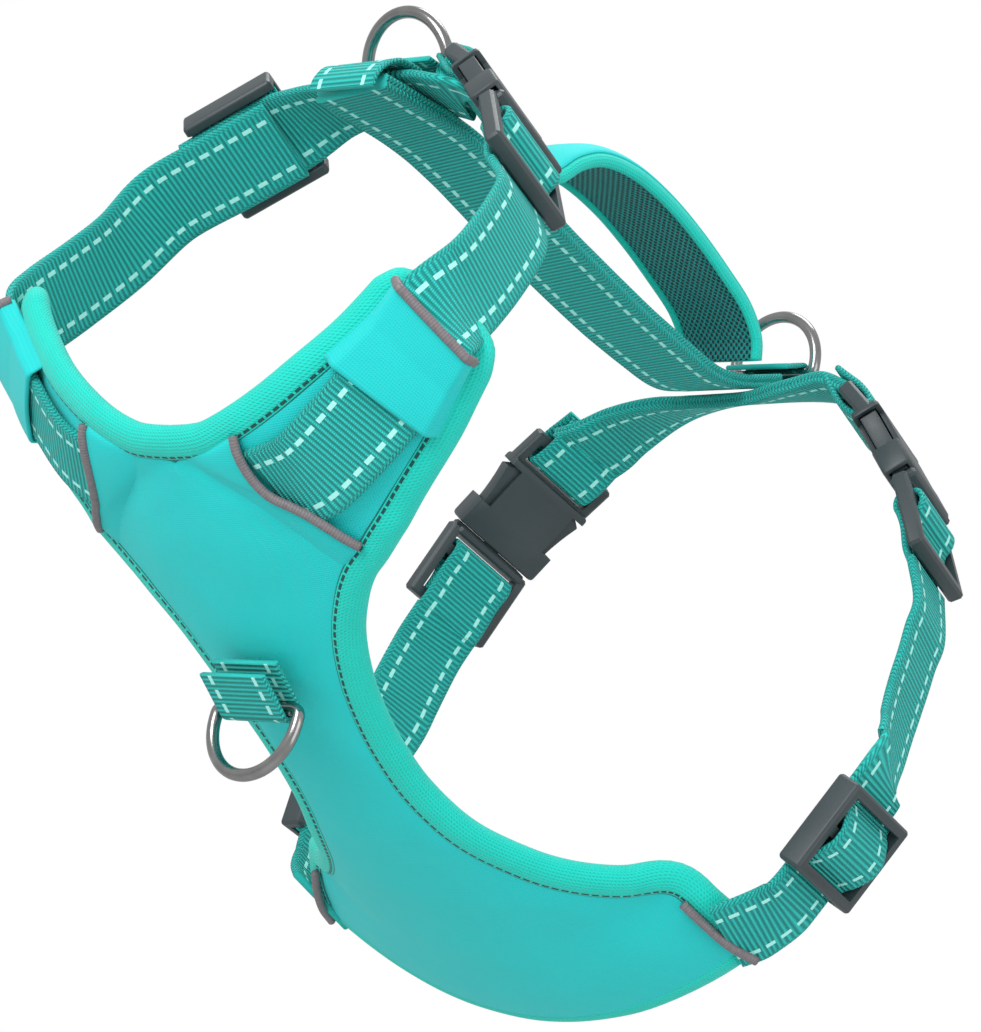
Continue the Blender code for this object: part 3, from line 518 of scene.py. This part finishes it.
def tube(name, points, radius, mat, body=ROOT, closed=False, sides=16, count=None, up=(0, 0, 1)):
    route = [(p, up) for p in points]
    if closed:
        frames = []
        total = len(points)
        for i, p in enumerate(points):
            tangent = (points[(i + 1) % total] - points[i - 1]).normalized()
            side = tangent.cross(Vector(up)).normalized()
            frames.append((p, side, side.cross(tangent).normalized()))
    else:
        frames = frames_along(route, count or len(points) * 6)
    section = []
    for i in range(sides):
        angle = 2 * math.pi * i / sides
        section.append((radius * math.cos(angle), radius * math.sin(angle), radius / MM * angle))
    return sweep(name, frames, section, mat, body, closed)



# ---------------------------------------------------------------- chest plate
DEEP = 5.8 * MM   # outer fabric to inner fabric


def side_point(position, t, flank=1):
    """Outer surface point and normal: t runs from the inner to the outer seam, flank is -1 on the right."""
    point = panel_point(position, t)
    normal = panel_normal(position, t)
    if flank < 0:
        point.x, normal.x = -point.x, -normal.x
    return point, normal


def plate_layer(name, top, bottom, puff, mat, nodes):
    """A sewn layer of the plate, full in the middle and pinched towards its seams."""
    along, across = 132, 40
    mesh = bpy.data.meshes.new(name)
    bm = bmesh.new()
    layer = bm.loops.layers.uv.new("cloth")
    for flank in (-1, 1):
        grid = []
        for i in range(along + 1):
            position = LAST * i / along
            line = []
            for j in range(across + 1):
                t = j / across
                point, normal = side_point(position, t, flank)
                shared = position <= NECK_ROW
                rim = min(1 - t, i / along * 3, (along - i) / along * 6)
                if position > NECK_ROW - 1:
                    rim = min(rim, t + max(NECK_ROW - position, 0))
                full = min(max(rim, 0) / 0.22, 1) ** 0.5
                crease = noise.noise(point * 42) * 0.5 * MM + noise.noise(point * 130) * 0.12 * MM
                high = top + full * (puff + crease)
                low = bottom - full * puff * 0.5
                outer = point + normal * high
                inner = point - normal * low
                if shared and j == 0:
                    outer.x = inner.x = 0
                uv = (point.x / MM, (point.y - point.z * 0.6) / MM)
                line.append((bm.verts.new(outer), bm.verts.new(inner), uv))
            grid.append(line)
        for i in range(along):
            for j in range(across):
                a, b, c, d = grid[i][j], grid[i][j + 1], grid[i + 1][j + 1], grid[i + 1][j]
                for k in (0, 1):
                    face = bm.faces.new((a[k], b[k], c[k], d[k]))
                    for loop, corner in zip(face.loops, (a, b, c, d)):
                        loop[layer].uv = corner[2]
        rims = [[grid[0][j] for j in range(across + 1)], [grid[along][j] for j in range(across + 1)],
                [grid[i][across] for i in range(along + 1)]]
        rims.append([grid[i][0] for i in range(along * NECK_ROW // LAST, along + 1)])
        for rim in rims:
            for a, b in zip(rim, rim[1:]):
                face = bm.faces.new((a[0], b[0], b[1], a[1]))
                for loop, corner in zip(face.loops, (a, b, b, a)):
                    loop[layer].uv = corner[2]
    bmesh.ops.remove_doubles(bm, verts=bm.verts, dist=0.00001)
    bmesh.ops.recalc_face_normals(bm, faces=bm.faces)
    bm.to_mesh(mesh)
    bm.free()
    obj = new_object(name, mesh, mat)
    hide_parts(*nodes)
    return obj


def seam_frames(start, end, t, count):
    """Frames on the plate's edge, half-way through its layers; across points away from the plate."""
    frames = []
    for i in range(count + 1):
        position = start + (end - start) * i / count
        edge = panel_point(position, t)
        normal = panel_normal(position, t)
        ahead = panel_point(min(position + 0.05, LAST), t)
        behind = panel_point(max(position - 0.05, 0), t)
        away = normal.cross(ahead - behind).normalized()
        if away.dot(panel_point(position, 0.5) - edge) > 0:
            away = -away
        frames.append((edge - normal * (DEEP / 2), away, normal))
    return frames


def mirror_frames(frames):
    return [(Vector((-c.x, c.y, c.z)), Vector((-a.x, a.y, a.z)), Vector((-n.x, n.y, n.z)))
            for c, a, n in frames]


def smooth_frames(frames, rounds=3):
    for _ in range(rounds):
        done = [frames[0]]
        for a, b, c in zip(frames, frames[1:], frames[2:]):
            done.append(tuple((x + y * 2 + z) / 4 for x, y, z in zip(a, b, c)))
        frames = done + [frames[-1]]
    return [(c, a.normalized(), n.normalized()) for c, a, n in frames]


def binding(name, frames, nodes, half_width=5.3 * MM, half_thick=3.8 * MM, outward=2.5 * MM):
    """Padded tape folded over the plate's edge: its section reaches in over the seam."""
    shifted = []
    for c, a, n in smooth_frames(frames):
        swell = noise.noise(c * 60) * 0.35 * MM
        shifted.append((c + a * (outward + swell), a, n))
    piece = sweep(name, shifted, oval(half_width, half_thick), BINDING)
    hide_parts(*nodes)
    return piece


def add_plate():
    pad = plate_layer("chest_pad", 0, 4.3 * MM, 0.5 * MM, SHELL, ("chest_plate_shell", "chest_plate_foam"))
    lining = plate_layer("chest_pad_lining", -4.5 * MM, 5.7 * MM, 0.0, MESH, ("chest_plate_lining",))
    side = seam_frames(0.2, LAST - 0.25, 1, 150)
    neck = seam_frames(LAST - 0.25, NECK_ROW + 0.9, 0, 60)
    end = []
    for i in range(17):
        t = min(max((14 - i) / 12, 0.06), 0.94)
        turn = math.pi * i / 16
        point, normal = side_point(LAST - 0.12, t)
        ahead = (point - panel_point(LAST - 0.5, t)).normalized()
        outer = (side[-1][1] * math.cos(turn)) if i < 8 else (neck[0][1] * -math.cos(turn))
        away = (outer + ahead * math.sin(turn)).normalized()
        end.append((point - normal * (DEEP / 2 + 3.8 * MM * t * min(1.7 * math.sin(turn), 1) + 0.6 * MM), away, normal))
    centre, away, normal = neck[-1]
    dip = (Vector((0, centre.y + 1.2 * MM, centre.z - 1.5 * MM)),
           Vector((0, away.y, away.z)).normalized(), Vector((0, normal.y, normal.z)).normalized())
    half = side + end + neck
    other = [(c, a, n) for c, a, n in mirror_frames(half)[::-1]]
    binding("plate_edge_tape", half + [dip] + other, ("neck_binding", "side_binding_left", "side_binding_right"))
    hem = []
    for i in range(41):
        t = i / 40 * 1.94 - 0.97
        point, normal = side_point(0, abs(t), 1 if t > 0 else -1)
        hem.append((point - normal * (DEEP / 2), Vector((0, 1, 0)), normal))
    binding("belly_edge_tape", hem, ("belly_hem_binding",), 3.6 * MM, 3.4 * MM, 0.2 * MM)


# ---------------------------------------------------------------- straps
ARM_STARTS = {"left": 15.5, "right": 16.4}


def arm_route(side, start, count):
    sign = 1 if side == "left" else -1
    route = []
    for i in range(count):
        position = start + (ARM_END - start) * i / (count - 1)
        lift = 2 * GAP + 1.2 * MM + (3 * GAP if i == count - 1 else 0) - (1.6 * MM if i == 0 else 0)
        normal = panel_normal(position, 0.5)
        point = panel_point(position, 0.5) + normal * lift
        route.append((Vector((sign * point.x, point.y, point.z)), (sign * normal.x, normal.y, normal.z)))
    return route


def add_keeper(side):
    """Fabric band sewn across a shoulder arm over the webbing, with piping on its upper edge."""
    sign = 1 if side == "left" else -1
    rows, across = 26, 36
    name = f"shoulder_band_{side}"
    mesh = bpy.data.meshes.new(name)
    bm = bmesh.new()
    layer = bm.loops.layers.uv.new("cloth")
    grid = []
    for i in range(rows + 1):
        position = 19.45 + (ARM_END - 0.02 - 19.45) * i / rows
        line = []
        for j in range(across + 1):
            t = -0.09 + 1.18 * j / across
            point, normal = side_point(position, t, sign)
            off = abs(t - 0.5) * 2
            hump = 1 - min(max((off - 0.93 - 0.05 * max(position - 20.8, 0)) / 0.25, 0), 1)
            hump = hump * hump * (3 - 2 * hump)
            lift = 0.1 * MM + 3.9 * MM * hump + max(position - 20.8, 0) * 1.5 * MM + noise.noise(point * 70) * 0.3 * MM
            top = point + normal * (lift + 0.9 * MM)
            line.append((bm.verts.new(top), bm.verts.new(point + normal * (lift - 0.1 * MM)), (j * 0.9, i * 0.9)))
        grid.append(line)
    for i in range(rows):
        for j in range(across):
            corners = (grid[i][j], grid[i][j + 1], grid[i + 1][j + 1], grid[i + 1][j])
            for k in (0, 1):
                face = bm.faces.new([corner[k] for corner in corners])
                for loop, corner in zip(face.loops, corners):
                    loop[layer].uv = corner[2]
    rims = [grid[0], grid[rows], [line[0] for line in grid], [line[across] for line in grid]]
    for rim in rims:
        for a, b in zip(rim, rim[1:]):
            bm.faces.new((a[0], b[0], b[1], a[1]))
    bmesh.ops.recalc_face_normals(bm, faces=bm.faces)
    edge = [line[0].co.copy() + Vector((0, 0, 0)) for line in grid[rows]]
    bm.to_mesh(mesh)
    bm.free()
    band = new_object(name, mesh, SHELL)
    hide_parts(f"shoulder_keeper_{side}")
    cord = tube(f"shoulder_top_cord_{side}", edge[::3], 1.25 * MM, PIPING)
    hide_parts(f"shoulder_top_piping_{side}")


def add_flap(side, start, end):
    """Edge of the outer fabric, lifted by the webbing that comes out from under it."""
    sign = 1 if side == "left" else -1
    rows, across = 10, 30
    name = f"shoulder_flap_{side}"
    mesh = bpy.data.meshes.new(name)
    bm = bmesh.new()
    layer = bm.loops.layers.uv.new("cloth")
    grid = []
    for i in range(rows + 1):
        line = []
        for j in range(across + 1):
            t = -0.04 + 1.04 * j / across
            position = start + (end - start) * t - 1.5 * (1 - i / rows)
            point, normal = side_point(position, t, sign)
            hump = math.sin(math.pi * j / across) ** 0.5
            rise = 1 - (1 - i / rows) ** 2
            high = -0.3 * MM + (1.2 * MM + 2.7 * MM * hump) * rise
            uv = (point.x / MM, (point.y - point.z * 0.6) / MM)
            line.append((bm.verts.new(point + normal * high), bm.verts.new(point + normal * (high - 0.7 * MM)), uv))
        grid.append(line)
    for i in range(rows):
        for j in range(across):
            corners = (grid[i][j], grid[i][j + 1], grid[i + 1][j + 1], grid[i + 1][j])
            for k in (0, 1):
                face = bm.faces.new([corner[k] for corner in corners])
                for loop, corner in zip(face.loops, corners):
                    loop[layer].uv = corner[2]
    for rim in (grid[0], grid[rows], [line[0] for line in grid], [line[across] for line in grid]):
        for a, b in zip(rim, rim[1:]):
            bm.faces.new((a[0], b[0], b[1], a[1]))
    bmesh.ops.recalc_face_normals(bm, faces=bm.faces)
    bm.to_mesh(mesh)
    bm.free()
    flap = new_object(name, mesh, SHELL)


def add_piping():
    rows = {"left": (16.8, 14.3), "right": (17.4, 15.4)}
    for side, (start, end) in rows.items():
        sign = 1 if side == "left" else -1
        line = []
        for i in range(13):
            t = -0.04 + 1.04 * i / 12
            point, normal = side_point(start + (end - start) * t, t, sign)
            line.append(point + normal * (1.4 * MM + 2.4 * MM * math.sin(math.pi * i / 12) ** 0.5))
        add_flap(side, start, end)
        cord = tube(f"shoulder_cord_{side}", line, 1.25 * MM, PIPING)
        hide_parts(f"shoulder_piping_{side}")
        wing = [mm(sign * 78.4, 168.6, -160.1), mm(sign * 75, 160, -160.4),
                mm(sign * 71.4, 151.5, -158.8), mm(sign * 67.6, 144.5, -156.6)]
        cord = tube(f"belly_cord_{side}", wing, 1.25 * MM, PIPING)
        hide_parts(f"belly_piping_{side}")
        add_keeper(side)


def plug_frame(plan):
    place = pose_matrix(plan["mouth"], plan["pull"], plan["out"])
    return place @ Matrix.Rotation(math.radians(-plan["bend"]), 4, "X")


def socket_frame(plan):
    place = pose_matrix(plan["mouth"], plan["pull"], plan["out"])
    hinge = Matrix.Translation((0, -SLEEVE, 0))
    return place @ hinge @ Matrix.Rotation(math.radians(9), 4, "X") @ hinge.inverted()


def local_route(matrix, turns):
    """Route from (along, out, normal along, normal out) rows in a local frame, in mm."""
    return [(matrix @ mm(0, y, z), matrix.to_3x3() @ Vector((0, ny, nz))) for y, z, ny, nz in turns]


PLUG_WRAP = [
    (28.6, -3.9, 0, 1), (24, -4.2, 0, 1), (17, -3.4, 0.1, 1), (12.5, -3.6, 0, 1), (9.6, -4.0, 0, 1),
    (6.7, -2.8, 0.8, 0.6), (6.1, 0, 1, 0), (6.9, 2.9, 0.8, -0.6), (9.6, 3.9, 0, -1), (12.4, 2.6, -0.6, -0.8),
    (14.5, 0.2, -0.4, -0.9), (19, -1.3, -0.1, -1), (24, -1.3, 0, -1),
]
SOCKET_WRAP = [
    (-47, -2.2, -0.1, 1), (-41.5, -3.1, 0, 1), (-37, -3.9, 0, 1), (-33.5, -3.8, 0, 1), (-30, -2.9, -0.6, 0.8),
    (-28.4, -0.6, -1, 0.1), (-28.8, 1.9, -0.9, -0.5), (-30.6, 3.5, -0.4, -0.9), (-34, 3.9, 0, -1),
    (-37.5, 3.8, 0, -1), (-41.5, 3.1, 0, -1), (-47, 2.2, -0.1, -1),
]


def socket_end(plan):
    """Where a strap meets the bar of a buckle's socket."""
    frame_at = socket_frame(plan)
    return (frame_at @ mm(0, -38.4, 0), frame_at.to_3x3() @ Vector((0, 0, 1)))


def add_buckle_webbing(label, plan, loop, lower, nodes):
    """Webbing round the bars of both halves, and the strap below, whose top starts at the plug's bar."""
    frame_at = plug_frame(plan)
    strap(f"{label}_plug_webbing", local_route(frame_at, PLUG_WRAP), body=f"{label}_plug",
          width=24.6 * MM, thick=1.7 * MM)
    strap(f"{label}_socket_webbing", local_route(socket_frame(plan), SOCKET_WRAP), width=24.6 * MM, thick=1.7 * MM)
    first = (frame_at @ mm(0, 27.4, -3.4), frame_at.to_3x3() @ Vector((0, 0, 1)))
    piece = strap(f"{label}_lower_webbing", [first] + loop + lower, body=None)
    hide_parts(*nodes)
    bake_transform(piece)


def add_straps():
    strap("back_webbing", BACK_ROUTE, "back_strap", thick=DOUBLE, double=True)
    strap("neck_over_webbing", NECK_OVER + [socket_end(NECK_PLAN)], "neck_strap_over")
    strap("neck_right_webbing", arm_route("right", ARM_STARTS["right"], 5) + NECK_RIGHT_RISE, "neck_strap_right")
    girth = [socket_end(SIDES["left"])] + GIRTH_OVER + [socket_end(SIDES["right"])]
    strap("girth_over_webbing", girth, "girth_strap_over", thick=DOUBLE, double=True)
    arm = (arm_route("left", ARM_STARTS["left"], 6) + NECK_LEFT_RISE)[::-1]
    add_buckle_webbing("neck_buckle", NECK_PLAN, NECK_LEFT_LOOP[::-1], arm[1:], ("neck_strap_left", "neck_strap_left_loop"))
    for side, plan in SIDES.items():
        add_buckle_webbing(f"girth_buckle_{side}", plan, plan["loop"], plan["lower"][1:],
                           (f"girth_strap_{side}", f"girth_strap_{side}_loop"))


def slider_webbing(name, place, pull, out):
    """Webbing looped over a slide's middle bar."""
    matrix = pose_matrix(place, pull, out)
    base, thick = 1.2 * MM, 1.6 * MM
    level = base + thick + 3 * GAP
    high = level + 2.6 * MM
    low = base + 2 * GAP + thick / 2
    top = high + GAP + thick / 2
    reach = 13.5 * MM
    turn = [(-reach, low), (-reach + 4 * MM, low), (-6.7 * MM, (low + top) / 2), (-2.6 * MM, top),
            (0, top + 0.3 * MM), (2.6 * MM, top), (6.7 * MM, (low + top) / 2), (reach - 4 * MM, low), (reach, low)]
    route = []
    for i, (y, z) in enumerate(turn):
        ahead = turn[min(i + 1, len(turn) - 1)]
        behind = turn[max(i - 1, 0)]
        tilt = Vector((0, behind[1] - ahead[1], ahead[0] - behind[0]))
        route.append((matrix @ Vector((0, y, z)), matrix.to_3x3() @ tilt))
    return strap(f"{name}_cloth", route, f"{name}_webbing", name, thick=1.5 * MM, step=0.5 * MM)


# ---------------------------------------------------------------- handle
def handle_layer(name, level, thick, width, mat, nodes, crown=0.0):
    frames = []
    for centre, side, normal in frames_along(HANDLE_ROUTE, 150):
        frames.append((centre + normal * (level + thick / 2) * MM, side, normal))
    half, rise = width / 2, thick / 2 * MM
    steps = 22
    top = []
    for i in range(steps + 1):
        x = -1 + 2 * i / steps
        top.append((half * x, rise * max(1 - abs(x) ** 6, 0.05) + crown * (1 - x * x)))
    bottom = [(x, -rise * max(1 - abs(x / half) ** 6, 0.05)) for x, _ in top[::-1]]
    profile = [(x, z, x / MM) for x, z in top + bottom]
    piece = sweep(name, frames, profile, mat)
    if nodes:
        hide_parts(*nodes)
    return piece


def add_handle():
    handle_layer("handle_grip_lining", 0.0, 1.9, 27 * MM, MESH, ("handle_mesh_lining",))
    pad = handle_layer("handle_grip_pad", 1.5, 4.4, 28 * MM, SHELL, ("handle_foam", "handle_cover"),
                       0.8 * MM)
    for sign, label in ((1, "left"), (-1, "right")):
        frames = []
        for centre, side, normal in frames_along(HANDLE_ROUTE, 150):
            frames.append((centre + side * sign * 13.6 * MM + normal * 1.3 * MM, side * sign, normal))
        edge = sweep(f"handle_edge_tape_{label}", frames, oval(1.3 * MM, 2.0 * MM, 16), BINDING)


# ---------------------------------------------------------------- rings and hardware
def ring_loop(bar, up, out, reach):
    along = Vector(up).normalized()
    away = Vector(out).normalized()
    turn = 1.8 * MM + GAP + 0.8 * MM
    route = [(bar - along * reach - away * turn, away), (bar - along * reach * 0.5 - away * turn, away)]
    for i in range(7):
        angle = -math.pi / 2 + math.pi * i / 6
        spoke = along * math.cos(angle) + away * math.sin(angle)
        route.append((bar + spoke * turn, -spoke))
    route += [(bar - along * reach * 0.5 + away * turn, -away), (bar - along * reach + away * turn, -away)]
    return route


def add_rings():
    half, height = 14.8 * MM, 18.5 * MM
    for name, (bar, up) in RINGS.items():
        side = Vector((1, 0, 0))
        rise = Vector(up).normalized()
        points = []
        for i in range(9):
            points.append(bar + side * (-half + 2.2 * MM + (2 * half - 4.4 * MM) * i / 8))
        for i in range(5):
            turn = math.pi / 2 * (i + 0.5) / 5
            points.append(bar + side * (half - 2.2 * MM + 2.2 * MM * math.sin(turn))
                          + rise * (2.2 * MM * (1 - math.cos(turn))))
        for i in range(49):
            angle = math.pi * i / 48
            points.append(bar + side * (half * math.cos(angle)) + rise * (height - half + half * math.sin(angle)))
        for i in range(5):
            turn = math.pi / 2 * (4.5 - i) / 5
            points.append(bar - side * (half - 2.2 * MM + 2.2 * MM * math.sin(turn))
                          + rise * (2.2 * MM * (1 - math.cos(turn))))
        ring = tube(f"{name}_wire", points, 1.75 * MM, STEEL, name, True, 20, up=rise.cross(side))
        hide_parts(name)
    width = 23.5 * MM
    top = TOP_TAB + ring_loop(RINGS["top_d_ring"][0], (0, 1, 0.2), (0, -0.2, 1), 6 * MM)
    strap("top_tab_webbing", top, "top_ring_tab", width=width, thick=1.5 * MM, step=0.5 * MM)
    front = ring_loop(RINGS["front_d_ring"][0], (0, 0.93, -0.36), (0, -0.36, -0.93), 13 * MM)
    strap("front_tab_webbing", front, "front_ring_tab", width=width, thick=1.5 * MM, step=0.5 * MM)
    rear = ring_loop(RINGS["rear_d_ring"][0], (0, 0.8, 0.6), (0, -0.6, 0.8), 8 * MM)
    strap("rear_tab_webbing", rear, "rear_ring_tab", width=width, thick=1.5 * MM, step=0.5 * MM)


def moulded(node, body, width=0.45 * MM):
    """A moulded copy of a CAD piece: its edges rounded off."""
    source = bpy.data.objects[node]
    mesh = source.data.copy()
    mesh.materials.clear()
    obj = bpy.data.objects.new(f"{node}_moulded", mesh)
    bpy.context.scene.collection.objects.link(obj)
    mesh.materials.append(PLASTIC)
    bm = bmesh.new()
    bm.from_mesh(mesh)
    bmesh.ops.remove_doubles(bm, verts=bm.verts, dist=0.00002)
    bmesh.ops.dissolve_limit(bm, angle_limit=0.03, verts=bm.verts, edges=bm.edges)
    bm.to_mesh(mesh)
    bm.free()
    bevel = obj.modifiers.new("rounding", "BEVEL")
    bevel.width = width
    bevel.segments = 3
    bevel.limit_method = "ANGLE"
    bevel.angle_limit = math.radians(28)
    for face in mesh.polygons:
        face.use_smooth = True
    bevel.harden_normals = True
    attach(obj, body)
    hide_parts(node)
    return obj


def add_hardware():
    for label in ("neck_buckle", "girth_buckle_left", "girth_buckle_right"):
        moulded(f"{label}_socket", ROOT)
        moulded(f"{label}_plug", f"{label}_plug")
        moulded(f"{label}_press_arm_a", f"{label}_press_arm_a", 0.35 * MM)
        moulded(f"{label}_press_arm_b", f"{label}_press_arm_b", 0.35 * MM)
    moulded("neck_slider", "neck_slider")
    slider_webbing("neck_slider", *NECK_SLIDER)
    for side, plan in SIDES.items():
        moulded(f"girth_slider_{side}", f"girth_slider_{side}")
        slider_webbing(f"girth_slider_{side}", plan["slider"], plan["slider_pull"], plan["slider_out"])


# ---------------------------------------------------------------- camera and light
def add_stage():
    camera = bpy.data.cameras.new("camera")
    camera.sensor_fit = "HORIZONTAL"
    camera.sensor_width = 36
    camera.lens = 145.3
    camera.clip_end = 20
    view = bpy.data.objects.new("camera", camera)
    bpy.context.scene.collection.objects.link(view)
    right = Vector((0.75375, 0.55176, 0.35695))
    up = Vector((-0.0021, -0.54115, 0.84092))
    back = Vector((0.65715, -0.6346, -0.40674))
    view.matrix_world = (Matrix.Translation((0.7229, -0.6101, -0.5174))
                         @ Matrix((right, up, back)).transposed().to_4x4())
    bpy.context.scene.camera = view
    aim = mm(0, 88, -70)
    for name, place, size, power in (
        ("key", aim + back * 0.9 - right * 0.5 + up * 0.8, 0.7, 10.5),
        ("fill", aim + back * 0.9 + right * 0.9 - up * 0.1, 0.9, 3.5),
        ("rim", aim - back * 0.5 + up * 0.9 + right * 0.3, 0.6, 5),
    ):
        light = bpy.data.lights.new(name, "AREA")
        light.size = size
        light.energy = power
        lamp = bpy.data.objects.new(name, light)
        bpy.context.scene.collection.objects.link(lamp)
        lamp.location = place
        lamp.rotation_euler = (aim - place).to_track_quat("-Z", "Y").to_euler()
    bpy.context.scene.view_settings.view_transform = "Standard"
    world = bpy.data.worlds.new("studio")
    bpy.context.scene.world = world
    world.use_nodes = True
    tree = world.node_tree
    path = tree.nodes.new("ShaderNodeLightPath")
    level = tree.nodes.new("ShaderNodeMapRange")
    level.inputs["To Min"].default_value = 0.66
    level.inputs["To Max"].default_value = 1.0
    tree.links.new(path.outputs["Is Camera Ray"], level.inputs["Value"])
    tree.nodes["Background"].inputs["Color"].default_value = (1, 1, 1, 1)
    tree.links.new(level.outputs[0], tree.nodes["Background"].inputs["Strength"])
    bpy.ops.mesh.primitive_plane_add(size=12, location=(0, 0, -1.5))
    floor = bpy.context.object
    floor.name = "floor"
    pale = bpy.data.materials.new("pale_floor")
    pale.use_nodes = True
    pale.node_tree.nodes["Principled BSDF"].inputs["Base Color"].default_value = (0.85, 0.85, 0.85, 1)
    floor.data.materials.append(pale)


add_plate()
add_piping()
add_straps()
add_handle()
add_rings()
add_hardware()
add_stage()
